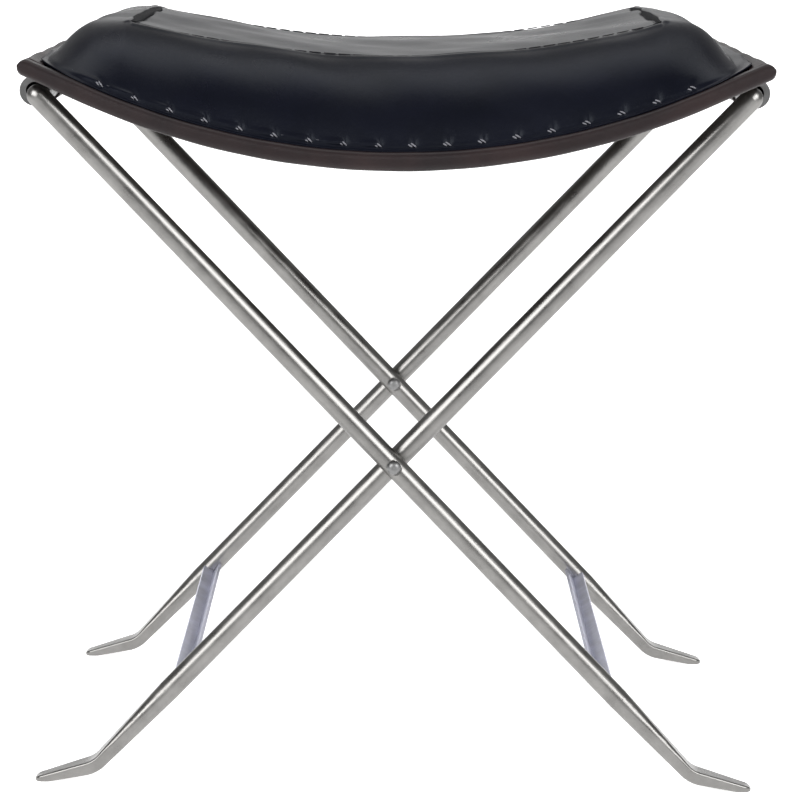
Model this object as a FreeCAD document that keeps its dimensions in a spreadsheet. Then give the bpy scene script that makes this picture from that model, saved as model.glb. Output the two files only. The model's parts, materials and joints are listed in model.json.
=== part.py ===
import FreeCAD, Part
import math
import os

import Sketcher

# Folding X-frame stool with a padded leather sling seat.
# Frame of the part, in millimetres: +Z up, X across the seat from one cross tube
# to the other, Y from front (-) to back (+), origin on the floor under the seat's middle.
# Two leg frames are riveted where they cross. Frame A runs from top left to bottom
# right, frame B from top right to bottom left, and each is the other turned half way
# round the Z axis.

Vector = FreeCAD.Vector
Rotation = FreeCAD.Rotation
Placement = FreeCAD.Placement

SIZES = {
    # Legs
    "BarDiameter": 14.0,
    "LegAngle": 46.3,
    "LegPitch": 320.0,
    "UpperReach": 325.7,
    "LowerReach": 278.5,
    "LegEndShort": 3.5,
    "ForgedLength": 63.0,
    "BendRadius": 20.0,
    "FootAngle": 14.5,
    "FootLength": 40.3,
    "BendThickness": 8.3,
    "BendWidth": 16.5,
    "ToeThickness": 5.2,
    "ToeWidth": 12.0,
    "ToeRound": 5.0,
    "LandingDepth": 0.9,
    "ForgedCorner": 1.4,
    # Pivot rivets
    "RivetDiameter": 6.0,
    "RivetHeadDiameter": 9.0,
    "RivetHeadHeight": 3.2,
    "RivetFlatDepth": 1.0,
    "RunningClearance": 0.05,
    "LegGap": 0.3,
    # Cross tubes under the ends of the sling
    "TubeDiameter": 19.0,
    "TubeBore": 11.0,
    "CopeDepth": 2.5,
    "WeldGap": 0.05,
    # Angle-iron stretchers
    "StretcherReach": 194.8,
    "AngleWidth": 10.0,
    "AngleWall": 2.0,
    "AngleTilt": 11.5,
    "AngleDrop": 4.7,
    # Leather sling
    "SeatOverhang": 9.6,
    "SeatDepth": 374.0,
    "SlingHeight": 408.1,
    "BaseThickness": 6.0,
    "BindingWall": 2.5,
    "BindingDepth": 14.0,
    "LoopThickness": 2.0,
    "LoopLength": 210.0,
    "LoopTail": 38.0,
    "LoopClearance": 0.3,
    "LeatherGap": 0.1,
    # Padded cover
    "PadRise": 57.1,
    "PadEndInset": 11.6,
    "PadSideInset": 6.0,
    "PadEndRoll": 58.0,
    "PadCornerRadius": 33.0,
    "PanelEndInset": 55.0,
    "PanelSideInset": 63.0,
    "PanelFlattening": 1.427,
    "PanelCrown": 3.0,
    "CoverThickness": 2.5,
    "SeamGap": 0.4,
    # Hand stitching
    "ThreadWidth": 1.3,
    "EdgeStitchPitch": 21.5,
    "EdgeStitchLength": 8.0,
    "CrossStitchPitch": 9.0,
    "CrossStitchLength": 7.0,
    "LoopStitchPitch": 12.0,
}

doc = FreeCAD.newDocument("FoldingStool")
sheet = doc.addObject("Spreadsheet::Sheet", "Sizes")
for row, (alias, value) in enumerate(SIZES.items(), start=1):
    sheet.set("A%d" % row, alias)
    sheet.set("B%d" % row, str(value))
    sheet.setAlias("B%d" % row, alias)
doc.recompute()


def size(alias):
    """Value of one driving dimension."""
    return float(sheet.get(alias))


# Positions worked out from the driving dimensions

BAR_RADIUS = size("BarDiameter") / 2
LEG_ANGLE = math.radians(size("LegAngle"))
FOOT_ANGLE = math.radians(size("FootAngle"))
FOOT_TURN = LEG_ANGLE - FOOT_ANGLE
TOE_REACH = size("FootLength") - size("ToeRound")

# The toe's underside reaches the landing depth below the floor before it is cut flat.
PIVOT_HEIGHT = (
    size("LowerReach") * math.sin(LEG_ANGLE)
    + TOE_REACH * math.sin(FOOT_ANGLE)
    + size("ToeThickness") / 2 * math.cos(FOOT_ANGLE)
    - size("LandingDepth")
)

LEG_OFFSET = BAR_RADIUS + size("LegGap") / 2
FRONT_Y = -size("LegPitch") / 2
BACK_Y = size("LegPitch") / 2

TUBE_X = size("UpperReach") * math.cos(LEG_ANGLE)
TUBE_Z = PIVOT_HEIGHT + size("UpperReach") * math.sin(LEG_ANGLE)

# The sling's mid line hangs on one big arc and wraps over each cross tube.
WRAP_RADIUS = (
    size("TubeDiameter") / 2
    + size("LoopClearance")
    + size("LoopThickness")
    + size("LeatherGap")
    + size("BaseThickness") / 2
)
SLING_DROP = TUBE_Z - size("SlingHeight")
SLING_RADIUS = (TUBE_X**2 + SLING_DROP**2 - WRAP_RADIUS**2) / (2 * (WRAP_RADIUS + SLING_DROP))
SLING_CENTRE_Z = size("SlingHeight") + SLING_RADIUS
SLING_TURN = math.atan2(TUBE_X, SLING_CENTRE_Z - TUBE_Z)

HALF_BASE = size("BaseThickness") / 2
HALF_EDGE = HALF_BASE + size("BindingWall")
HALF_WIDTH = TUBE_X + size("SeatOverhang")
HALF_DEPTH = size("SeatDepth") / 2

# The padded cover stands on the sling, a little inside its bound edges.
PAD_END = HALF_WIDTH - size("PadEndInset")
PAD_SIDE = HALF_DEPTH - size("PadSideInset")
PAD_SHOULDER = PAD_END - size("PadEndRoll")
PAD_HEIGHT = size("SlingHeight") + HALF_EDGE + size("PadRise")
PANEL_X = PAD_END - size("PanelEndInset")
PANEL_Y = PAD_SIDE - size("PanelSideInset")
PANEL_RADIUS = size("PanelFlattening") * SLING_RADIUS


# Helpers

def new_body(name):
    body = doc.addObject("PartDesign::Body", name)
    body.Label = name
    return body


def new_sketch(body, name, role, placement=Placement()):
    """Sketch attached to one of the body's own origin planes."""
    sketch = body.newObject("Sketcher::SketchObject", name)
    plane = [item for item in body.Origin.OriginFeatures if item.Role == role][0]
    sketch.AttachmentSupport = [(plane, "")]
    sketch.MapMode = "FlatFace"
    sketch.AttachmentOffset = placement
    return sketch


def bind(item, **expressions):
    """Tie properties of an object to cells of the sheet."""
    for name, expression in expressions.items():
        item.setExpression(name, expression)


def circle_sketch(body, name, role, placement, radius_expression):
    sketch = new_sketch(body, name, role, placement)
    sketch.addGeometry(Part.Circle(Vector(0, 0, 0), Vector(0, 0, 1), 1.0))
    sketch.addConstraint(Sketcher.Constraint("Coincident", 0, 3, -1, 1))
    sketch.addConstraint(Sketcher.Constraint("Radius", 0, 1.0))
    sketch.renameConstraint(1, "Radius")
    sketch.setExpression("Constraints.Radius", radius_expression)
    return sketch


def polygon_edges(points):
    """Straight edges that join the points in a closed ring."""
    return [
        Part.LineSegment(Vector(*start, 0), Vector(*end, 0))
        for start, end in zip(points, points[1:] + points[:1])
    ]


def rounded_section(sketch, centre_x, thickness, width, corner):
    """Rectangle with round corners: thickness along x, width along y."""
    x, y = thickness / 2 - corner, width / 2 - corner
    for sign_x, sign_y, start in ((1, 1, 0), (-1, 1, 90), (-1, -1, 180), (1, -1, 270)):
        centre = Vector(centre_x + sign_x * x, sign_y * y, 0)
        circle = Part.Circle(centre, Vector(0, 0, 1), corner)
        first, last = math.radians(start), math.radians(start + 90)
        sketch.addGeometry(Part.ArcOfCircle(circle, first, last))
    right, left = centre_x + thickness / 2, centre_x - thickness / 2
    top = width / 2
    sides = (
        ((right, -y), (right, y)),
        ((centre_x + x, top), (centre_x - x, top)),
        ((left, y), (left, -y)),
        ((centre_x - x, -top), (centre_x + x, -top)),
    )
    for start, end in sides:
        sketch.addGeometry(Part.LineSegment(Vector(*start, 0), Vector(*end, 0)))


def add_loft(body, name, sketches):
    loft = body.newObject("PartDesign::AdditiveLoft", name)
    loft.Profile = sketches[0]
    loft.Sections = sketches[1:]
    return loft


def volume_after(body):
    doc.recompute()
    return body.Shape.Volume


def cut_through(body, name, sketch, length, length_expression=None):
    """Pocket cut evenly to both sides of its sketch, which has to remove something."""
    before = volume_after(body)
    pocket = body.newObject("PartDesign::Pocket", name)
    pocket.Profile = sketch
    pocket.SideType = "Symmetric"
    pocket.Length = length
    if length_expression:
        bind(pocket, Length=length_expression)
    if volume_after(body) > before - 0.1:
        raise RuntimeError(name + " removed nothing")
    return pocket


# Legs: a round bar, forged flat towards the floor, bent outwards and drawn to a toe

def leg_rotation(side):
    return Rotation(Vector(0, 1, 0), -side * (90 - size("LegAngle")))


def to_leg(side, x, z):
    """Point of the leg's plane, from the stool's frame to the leg's own."""
    local = leg_rotation(side).inverted().multVec(Vector(x, 0, z - PIVOT_HEIGHT))
    return local.x, local.z


def make_leg(name, side, centre_y):
    """Leg with its own Z along the bar and its origin at the pivot; side is 1 or -1."""
    body = new_body(name)
    corner = size("ForgedCorner")
    bend_start = size("LowerReach") - size("BendRadius") * math.tan(FOOT_TURN / 2)
    forge_start = bend_start - size("ForgedLength")

    bar_sketch = circle_sketch(
        body, name + "_bar_circle", "XY_Plane",
        Placement(Vector(0, 0, -forge_start), Rotation()), "Sizes.BarDiameter / 2")
    bar = body.newObject("PartDesign::Pad", name + "_bar")
    bar.Profile = bar_sketch
    bar.Length = forge_start + size("UpperReach") - size("LegEndShort") + BAR_RADIUS
    doc.recompute()

    top_edge = max(range(len(bar.Shape.Edges)), key=lambda i: bar.Shape.Edges[i].CenterOfMass.z)
    dome = body.newObject("PartDesign::Fillet", name + "_domed_end")
    dome.Base = (bar, ["Edge%d" % (top_edge + 1)])
    bind(dome, Radius="Sizes.BarDiameter / 2 - 0.05")

    round_end = new_sketch(
        body, name + "_round_section", "XY_Plane",
        Placement(Vector(0, 0, -forge_start), Rotation()))
    rounded_section(round_end, 0, 2 * BAR_RADIUS, 2 * BAR_RADIUS, 0.98 * BAR_RADIUS)
    flat_end = new_sketch(
        body, name + "_flat_section", "XY_Plane",
        Placement(Vector(0, 0, -bend_start), Rotation()))
    rounded_section(flat_end, 0, size("BendThickness"), size("BendWidth"), corner)
    add_loft(body, name + "_forging", [round_end, flat_end])

    bend_sketch = new_sketch(
        body, name + "_bend_section", "XY_Plane",
        Placement(Vector(side * size("BendRadius"), 0, -bend_start), Rotation()))
    rounded_section(
        bend_sketch, -side * size("BendRadius"), size("BendThickness"), size("BendWidth"), corner)
    bend = body.newObject("PartDesign::Revolution", name + "_bend")
    bend.Profile = bend_sketch
    bend.ReferenceAxis = (bend_sketch, ["V_Axis"])
    bend.Reversed = side > 0
    bind(bend, Angle="Sizes.LegAngle - Sizes.FootAngle")

    def foot_section(tag, reach, thickness, width, section_corner):
        """Section across the foot at a reach from the bend's apex."""
        position = Vector(
            side * reach * math.sin(FOOT_TURN), 0,
            -size("LowerReach") - reach * math.cos(FOOT_TURN))
        turn = Rotation(Vector(0, 1, 0), -side * math.degrees(FOOT_TURN))
        sketch = new_sketch(body, name + tag, "XY_Plane", Placement(position, turn))
        rounded_section(sketch, 0, thickness, width, section_corner)
        return sketch

    toe_round = size("ToeRound")
    foot_start = foot_section(
        "_foot_start", size("BendRadius") * math.tan(FOOT_TURN / 2),
        size("BendThickness"), size("BendWidth"), corner)
    toe_start = foot_section(
        "_toe_start", TOE_REACH, size("ToeThickness"), size("ToeWidth"), corner)
    add_loft(body, name + "_foot", [foot_start, toe_start])
    toe_middle = foot_section(
        "_toe_middle", TOE_REACH + 0.7 * toe_round,
        0.82 * size("ToeThickness"), 0.8 * size("ToeWidth"), 0.9 * corner)
    toe_end = foot_section(
        "_toe_end", TOE_REACH + toe_round,
        0.5 * size("ToeThickness"), 0.46 * size("ToeWidth"), 0.7 * corner)
    add_loft(body, name + "_toe", [toe_start, toe_middle, toe_end])

    rivet_hole = circle_sketch(
        body, name + "_rivet_circle", "XZ_Plane", Placement(),
        "Sizes.RivetDiameter / 2 + Sizes.RunningClearance")
    cut_through(body, name + "_rivet_hole", rivet_hole, 20, "Sizes.BarDiameter * 2")

    # Spot face that the rivet's head sits on: on the front of an A leg, the back of a B leg.
    flat_y = -side * BAR_RADIUS
    spot_circle = circle_sketch(
        body, name + "_spot_circle", "XZ_Plane",
        Placement(Vector(0, 0, -flat_y), Rotation()), "Sizes.RivetHeadDiameter / 2 + 0.75")
    cut_through(body, name + "_spot_face", spot_circle, 2, "Sizes.RivetFlatDepth * 2")

    landing = new_sketch(body, name + "_landing_outline", "XZ_Plane")
    toe_x = side * (size("LowerReach") * math.cos(LEG_ANGLE) + TOE_REACH)
    reach = 2 * size("FootLength")
    corners = (
        (toe_x - reach, 0), (toe_x + reach, 0), (toe_x + reach, -reach), (toe_x - reach, -reach))
    for edge in polygon_edges([to_leg(side, x, z) for x, z in corners]):
        landing.addGeometry(edge)
    cut_through(body, name + "_landing", landing, 40, "Sizes.BendWidth * 3")

    body.Placement = Placement(Vector(0, centre_y, PIVOT_HEIGHT), leg_rotation(side))
    return body


# Frame parts between the legs

def leg_cutter(name, side, centre_y, clearance_alias):
    """Round bar with a domed end, for coping what is welded to a leg."""
    rotation = leg_rotation(side)
    length = size("LowerReach") + size("UpperReach") - size("LegEndShort")
    start = Vector(0, centre_y, PIVOT_HEIGHT) + rotation.multVec(Vector(0, 0, -size("LowerReach")))
    end = start + rotation.multVec(Vector(0, 0, length))
    bar = doc.addObject("Part::Cylinder", name + "_bar")
    bind(bar, Radius="Sizes.BarDiameter / 2 + Sizes." + clearance_alias)
    bar.Height = length
    bar.Placement = Placement(start, rotation)
    ball = doc.addObject("Part::Sphere", name + "_ball")
    bind(ball, Radius="Sizes.BarDiameter / 2 + Sizes." + clearance_alias)
    ball.Placement = Placement(end, Rotation())
    both = doc.addObject("Part::MultiFuse", name)
    both.Shapes = [bar, ball]
    return both


def cope(name, blank, side, leg_front_y, leg_back_y):
    """Fit the blank's ends to the round of the legs that it is welded to."""
    cutters = doc.addObject("Part::MultiFuse", name + "_legs")
    cutters.Shapes = [
        leg_cutter(name + "_front_leg", side, leg_front_y, "WeldGap"),
        leg_cutter(name + "_back_leg", side, leg_back_y, "WeldGap"),
    ]
    piece = doc.addObject("Part::Cut", name)
    piece.Base = blank
    piece.Tool = cutters
    piece.Label = name
    return piece


def span_between(front_y, back_y):
    """Start and length of a piece that is coped onto both legs of a frame."""
    start = front_y + BAR_RADIUS - size("CopeDepth")
    end = back_y - BAR_RADIUS + size("CopeDepth")
    return start, end - start


def make_cross_tube(name, side, front_y, back_y):
    start, length = span_between(front_y, back_y)
    axis = Rotation(Vector(1, 0, 0), -90)
    outer = doc.addObject("Part::Cylinder", name + "_outer")
    bind(outer, Radius="Sizes.TubeDiameter / 2")
    outer.Height = length
    outer.Placement = Placement(Vector(-side * TUBE_X, start, TUBE_Z), axis)
    bore = doc.addObject("Part::Cylinder", name + "_bore")
    bind(bore, Radius="Sizes.TubeBore / 2")
    bore.Height = length + 2
    bore.Placement = Placement(Vector(-side * TUBE_X, start - 1, TUBE_Z), axis)
    blank = doc.addObject("Part::Cut", name + "_blank")
    blank.Base = outer
    blank.Tool = bore
    return cope(name, blank, side, front_y, back_y)


def make_stretcher(name, side, front_y, back_y):
    """Angle iron, heel down and open side up, across the outside of the lower legs."""
    start, length = span_between(front_y, back_y)
    body = new_body(name + "_angle")
    outline = new_sketch(body, name + "_outline", "XZ_Plane")
    width, wall = size("AngleWidth"), size("AngleWall")
    inner = width - wall
    points = [
        (0, 0), (inner, 0), (inner, -wall), (-wall, -wall), (-wall, inner), (0, inner)]
    for edge in polygon_edges(points):
        outline.addGeometry(edge)
    pad = body.newObject("PartDesign::Pad", name + "_length")
    pad.Profile = outline
    pad.SideType = "Symmetric"
    pad.Length = length
    doc.recompute()
    corner_x = side * size("StretcherReach") * math.cos(LEG_ANGLE)
    corner_z = PIVOT_HEIGHT - size("StretcherReach") * math.sin(LEG_ANGLE) - size("AngleDrop")
    turn = Rotation(Vector(0, 1, 0), side * size("AngleTilt") - 45)
    body.Placement = Placement(Vector(corner_x, start + length / 2, corner_z), turn)
    return cope(name, body, side, front_y, back_y)


def make_rivet(name, front_y):
    """Rivet with a domed head on each side; its origin is where its shank starts."""
    body = new_body(name)
    outline = new_sketch(body, name + "_outline", "XY_Plane")
    shank = size("RivetDiameter") / 2
    head = size("RivetHeadDiameter") / 2
    height = size("RivetHeadHeight")
    gap = size("RunningClearance")
    grip = 4 * BAR_RADIUS + size("LegGap") - 2 * size("RivetFlatDepth") + gap
    rim = 0.25 * height
    outline.addGeometry(Part.LineSegment(Vector(0, -height, 0), Vector(0, grip + height, 0)))
    for base, way in ((0, -1), (grip, 1)):
        centre_height = base + way * rim
        dome = Part.Arc(
            Vector(0, base + way * height, 0),
            Vector(head * 0.72, base + way * (rim + 0.69 * (height - rim)), 0),
            Vector(head, centre_height, 0))
        outline.addGeometry(dome)
        outline.addGeometry(Part.LineSegment(Vector(head, centre_height, 0), Vector(head, base, 0)))
        outline.addGeometry(Part.LineSegment(Vector(head, base, 0), Vector(shank, base, 0)))
    outline.addGeometry(Part.LineSegment(Vector(shank, 0, 0), Vector(shank, grip, 0)))
    turned = body.newObject("PartDesign::Revolution", name + "_turned")
    turned.Profile = outline
    turned.ReferenceAxis = (outline, ["V_Axis"])
    turned.Angle = 360
    doc.recompute()
    start_y = front_y - 2 * BAR_RADIUS - size("LegGap") / 2 + size("RivetFlatDepth")
    body.Placement = Placement(Vector(0, start_y, PIVOT_HEIGHT), Rotation())
    return body


# Leather sling: every strip follows the same mid line at its own offsets

def sling_point(offset, turn):
    """Point on the sling's big arc, at an offset above its mid line."""
    radius = SLING_RADIUS - offset
    return Vector(radius * math.sin(turn), 0, SLING_CENTRE_Z - radius * math.cos(turn))


def wrap_point(offset, turn):
    """Point where the sling wraps over the right cross tube; turn is from straight up."""
    radius = WRAP_RADIUS + offset
    return Vector(TUBE_X + radius * math.sin(turn), 0, TUBE_Z + radius * math.cos(turn))


def mirrored(point):
    return Vector(-point.x, point.y, point.z)


def sling_line(offset, end_x):
    """Edges of one line along the sling, from its left end to its right end."""
    height = TUBE_Z + WRAP_RADIUS + offset
    right = [
        Part.Arc(
            sling_point(offset, SLING_TURN),
            wrap_point(offset, -SLING_TURN / 2),
            wrap_point(offset, 0)).toShape(),
        Part.makeLine(wrap_point(offset, 0), Vector(end_x, 0, height)),
    ]
    left = [
        Part.makeLine(Vector(-end_x, 0, height), mirrored(wrap_point(offset, 0))),
        Part.Arc(
            mirrored(wrap_point(offset, 0)),
            mirrored(wrap_point(offset, -SLING_TURN / 2)),
            mirrored(sling_point(offset, SLING_TURN))).toShape(),
    ]
    middle = Part.Arc(
        sling_point(offset, -SLING_TURN),
        sling_point(offset, 0),
        sling_point(offset, SLING_TURN)).toShape()
    return left + [middle] + right


def sling_strip(low, high, end_x, front_y, back_y, round_ends=False):
    """Solid strip of the sling between two offsets and two places in depth."""
    upper = sling_line(high, end_x)
    lower = sling_line(low, end_x)
    centre_z = TUBE_Z + WRAP_RADIUS + (low + high) / 2
    ends = []
    for side in (1, -1):
        bottom = Vector(side * end_x, 0, TUBE_Z + WRAP_RADIUS + low)
        top = Vector(side * end_x, 0, TUBE_Z + WRAP_RADIUS + high)
        if round_ends:
            nose = Vector(side * (end_x + (high - low) / 2), 0, centre_z)
            ends.append(Part.Arc(bottom, nose, top).toShape())
        else:
            ends.append(Part.makeLine(bottom, top))
    wire = Part.Wire(Part.__sortEdges__(upper + lower + ends))
    face = Part.Face(wire)
    face.translate(Vector(0, front_y, 0))
    return face.extrude(Vector(0, back_y - front_y, 0))


def sling_block(end_x, half_depth, low, high):
    return sling_strip(low, high, end_x, -half_depth, half_depth)


def new_feature(name, shape):
    feature = doc.addObject("Part::Feature", name)
    feature.Shape = shape
    feature.Label = name
    return feature


def base_solid():
    edge = size("BindingWall")
    return sling_block(HALF_WIDTH - edge, HALF_DEPTH - edge, -HALF_BASE, HALF_BASE)


def make_bindings(base):
    """Leather folded round each edge of the base: front, back and the two ends."""
    depth = size("BindingDepth")
    nose_x = HALF_WIDTH - HALF_EDGE
    inner_y = HALF_DEPTH - depth
    full = sling_strip(-HALF_EDGE, HALF_EDGE, nose_x, -HALF_DEPTH, HALF_DEPTH, round_ends=True)
    bindings = {}
    for name, way in (("edge_binding_front", -1), ("edge_binding_back", 1)):
        strip = full.common(Part.makeBox(
            2 * HALF_WIDTH, depth, 2 * HALF_WIDTH,
            Vector(-HALF_WIDTH, -HALF_DEPTH if way < 0 else inner_y, 0)))
        outer_edges = [
            edge for edge in strip.Edges
            if abs(edge.BoundBox.YMin - way * HALF_DEPTH) < 1e-3
            and abs(edge.BoundBox.YMax - way * HALF_DEPTH) < 1e-3
        ]
        strip = strip.makeFillet(0.72 * HALF_EDGE, outer_edges)
        bindings[name] = strip.cut(base)
    for name, way in (("end_binding_left", -1), ("end_binding_right", 1)):
        box = Part.makeBox(
            depth, 2 * inner_y, 2 * HALF_WIDTH,
            Vector(-HALF_WIDTH if way < 0 else HALF_WIDTH - depth, -inner_y, 0))
        binding = full.common(box).cut(base)
        # Its underside gives way to the tube and to the loop round it.
        under = Part.makeBox(
            depth, 2 * inner_y, TUBE_Z + WRAP_RADIUS - HALF_BASE,
            Vector(-nose_x if way < 0 else nose_x - depth, -inner_y, 0))
        loop_room = Part.makeCylinder(
            WRAP_RADIUS - HALF_BASE, 2 * inner_y,
            Vector(way * TUBE_X, -inner_y, TUBE_Z), Vector(0, 1, 0))
        bindings[name] = binding.cut(under).cut(loop_room)
    return [new_feature(name, shape) for name, shape in bindings.items()]


def make_loop(name, side):
    """Strap stitched under the base that goes round one cross tube."""
    thickness = size("LoopThickness")
    half_length = size("LoopLength") / 2
    inner = size("TubeDiameter") / 2 + size("LoopClearance")
    axis = Vector(0, 1, 0)
    start = Vector(TUBE_X, -half_length, TUBE_Z)
    ring = Part.makeCylinder(inner + thickness, 2 * half_length, start, axis).cut(
        Part.makeCylinder(inner, 2 * half_length, start, axis))
    tail_turn = SLING_TURN - size("LoopTail") / SLING_RADIUS
    top, bottom = -HALF_BASE, -HALF_BASE - thickness
    middle_turn = (tail_turn + SLING_TURN) / 2
    edges = [
        Part.Arc(sling_point(top, tail_turn), sling_point(top, middle_turn),
                 sling_point(top, SLING_TURN)).toShape(),
        Part.makeLine(sling_point(top, SLING_TURN), sling_point(bottom, SLING_TURN)),
        Part.Arc(sling_point(bottom, SLING_TURN), sling_point(bottom, middle_turn),
                 sling_point(bottom, tail_turn)).toShape(),
        Part.makeLine(sling_point(bottom, tail_turn), sling_point(top, tail_turn)),
    ]
    tail = Part.Face(Part.Wire(edges))
    tail.translate(Vector(0, -half_length, 0))
    shape = ring.fuse(tail.extrude(Vector(0, 2 * half_length, 0))).removeSplitter()
    if side > 0:
        shape = shape.mirror(Vector(0, 0, 0), Vector(1, 0, 0))
    return new_feature(name, shape)


# Padded cover: crowned sections lofted from end to end

def rim_height(x, offset):
    """Height of a line along the sling at a place across the seat."""
    reach = abs(x)
    turn_x = (SLING_RADIUS - offset) * math.sin(SLING_TURN)
    if reach < turn_x:
        return SLING_CENTRE_Z - math.sqrt((SLING_RADIUS - offset) ** 2 - reach**2)
    beyond = min(reach - TUBE_X, 0)
    return TUBE_Z + math.sqrt((WRAP_RADIUS + offset) ** 2 - beyond**2)


def pad_top(x, inset):
    """Height of the pad's crown line, which rolls over and drops to the rim at each end."""
    end_x = PAD_END - inset
    level = PAD_HEIGHT + min(abs(x), PAD_SHOULDER) ** 2 / (2 * PANEL_RADIUS) - inset
    low = rim_height(end_x, HALF_EDGE) + 1.0 + 0.8 * (size("CoverThickness") - inset)
    along = max(0.0, (abs(x) - PAD_SHOULDER) / (end_x - PAD_SHOULDER))
    return low + (level - low) * max(0.0, 1 - along**4.2) ** 1.053


def pad_half_depth(x, inset):
    """Half depth of the pad at its rim, with the rounded corners of its plan."""
    corner = size("PadCornerRadius")
    half = PAD_SIDE - inset
    into_corner = max(0.0, abs(x) - (PAD_END - inset - corner))
    return half - corner + math.sqrt(max(0.0, corner**2 - into_corner**2))


def pad_section(x, inset, floor_offset):
    """Closed section across the pad: flat underside, two rolled sides and a crown."""
    floor = rim_height(x, floor_offset)
    rim = rim_height(x, HALF_EDGE)
    top = pad_top(x, inset)
    rise = top - rim
    half = pad_half_depth(x, inset)
    share = min(1.0, rise / size("PadRise"))
    crown = 0.3 + (size("PanelCrown") - 0.3) * share**4
    seam_y = min(PANEL_Y, half - 20)
    seam = Vector(x, seam_y, top - crown)
    edge = Vector(x, half, rim + 0.2 + 0.6 * (size("CoverThickness") - inset))
    chord = edge - seam
    outward = Vector(0, -chord.z, chord.y).normalize()
    bulge = seam + chord * 0.5 + outward * (0.162 * chord.Length * share)
    foot = Vector(x, half, floor)

    def other(point):
        return Vector(point.x, -point.y, point.z)

    return Part.Wire([
        Part.makeLine(other(foot), foot),
        Part.makeLine(foot, edge),
        Part.Arc(edge, bulge, seam).toShape(),
        Part.Arc(seam, Vector(x, 0, top), other(seam)).toShape(),
        Part.Arc(other(seam), other(bulge), other(edge)).toShape(),
        Part.makeLine(other(edge), other(foot)),
    ])


def pad_solid(inset, floor_offset):
    run = PAD_END - inset - PAD_SHOULDER
    right = [share * PAD_SHOULDER for share in (0.28, 0.55, 0.8, 1.0)]
    right += [PAD_SHOULDER + run * share for share in (0.3, 0.55, 0.72, 0.84, 0.93, 1.0)]
    stations = [-x for x in reversed(right)] + [0.0] + right
    return Part.makeLoft([pad_section(x, inset, floor_offset) for x in stations], True, False)


def make_pad(bindings):
    wall = size("CoverThickness")
    outer = pad_solid(0, HALF_EDGE + 0.1)
    inner = pad_solid(wall, HALF_BASE + 0.1)
    shell = outer.cut(inner)
    core = inner
    for binding in bindings:
        core = core.cut(binding.Shape)
    core = core.cut(sling_frame())
    half_gap = size("SeamGap") / 2

    def panel_box(grow):
        return Part.makeBox(
            2 * (PANEL_X + grow), 2 * (PANEL_Y + grow), 2 * size("PadRise"),
            Vector(-PANEL_X - grow, -PANEL_Y - grow, PAD_HEIGHT - 0.8 * size("PadRise")))

    panel = shell.common(panel_box(-half_gap))
    border = shell.cut(panel_box(half_gap))
    return [
        new_feature("foam_pad", core),
        new_feature("cover_top_panel", panel),
        new_feature("cover_border", border),
    ]


def sling_frame():
    """Room over the bindings, where the foam stops short."""
    top = HALF_EDGE + 0.1
    inner_y = HALF_DEPTH - size("BindingDepth") - 0.2
    inner_x = HALF_WIDTH - size("BindingDepth") - 0.2
    whole = sling_strip(-HALF_EDGE, top, HALF_WIDTH, -HALF_DEPTH, HALF_DEPTH)
    hole = Part.makeBox(
        2 * inner_x, 2 * inner_y, 2 * PAD_HEIGHT, Vector(-inner_x, -inner_y, 0))
    return whole.cut(hole)


# Hand stitching: short bars of waxed thread

def thread_bar(start, end):
    """Six-sided bar of thread between two points."""
    along = end - start
    radius = size("ThreadWidth") / 2
    corners = [
        Vector(radius * math.cos(math.radians(60 * i)), radius * math.sin(math.radians(60 * i)), 0)
        for i in range(6)
    ]
    face = Part.Face(Part.makePolygon(corners + corners[:1]))
    bar = face.extrude(Vector(0, 0, along.Length))
    bar.Placement = Placement(start, Rotation(Vector(0, 0, 1), along))
    return bar


def row_places(length, pitch):
    """Evenly spaced places, centred, that stay inside a length."""
    count = int(length / pitch) + 1
    return [(i - (count - 1) / 2) * pitch for i in range(count)]


def side_point(x, rise, lift):
    """Point just outside the rolled side of the cover, at a height above its rim."""
    side = pad_section(x, 0, HALF_EDGE).Edges[2].Curve
    centre = side.Center
    height = rim_height(x, HALF_EDGE) + rise
    radius = side.Radius + lift
    return Vector(x, centre.y + math.sqrt(radius**2 - (height - centre.z) ** 2), height)


def make_edge_stitching(name, way):
    """Slanted stitches that hold the cover's lower edge; way is -1 front or 1 back."""
    lift = size("ThreadWidth") / 2 + 0.3
    half_run = size("EdgeStitchLength") / 2
    bars = []
    straight = 2 * (PAD_END - size("PadCornerRadius") - half_run)
    for x in row_places(straight, size("EdgeStitchPitch")):
        high = side_point(x - 0.8 * half_run, 0.85 * size("EdgeStitchLength"), lift)
        low = side_point(x + 0.8 * half_run, 0.3 * size("EdgeStitchLength"), lift)
        bars.append(thread_bar(
            Vector(high.x, way * high.y, high.z), Vector(low.x, way * low.y, low.z)))
    return new_feature(name, Part.makeCompound(bars))


def panel_height(x, y):
    """Height of the cover's top face near the panel's cross seams."""
    section = pad_section(x, 0, HALF_EDGE)
    crown = section.Edges[3].Curve
    centre = crown.Center
    return centre.z + math.sqrt(crown.Radius**2 - (y - centre.y) ** 2)


def make_cross_stitching(name, way):
    """Slanted stitches over the seam at one end of the top panel."""
    lift = size("ThreadWidth") / 2 + 0.3
    half_run = size("CrossStitchLength") / 2
    seam_x = way * PANEL_X
    lean = size("CrossStitchPitch") * 0.25
    bars = []
    for y in row_places(2 * PANEL_Y - size("CrossStitchPitch"), size("CrossStitchPitch")):
        ends = []
        for x, end_y in ((seam_x - half_run, y - lean), (seam_x + half_run, y + lean)):
            ends.append(Vector(x, end_y, panel_height(x, end_y) + lift))
        bars.append(thread_bar(*ends))
    return new_feature(name, Part.makeCompound(bars))


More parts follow.
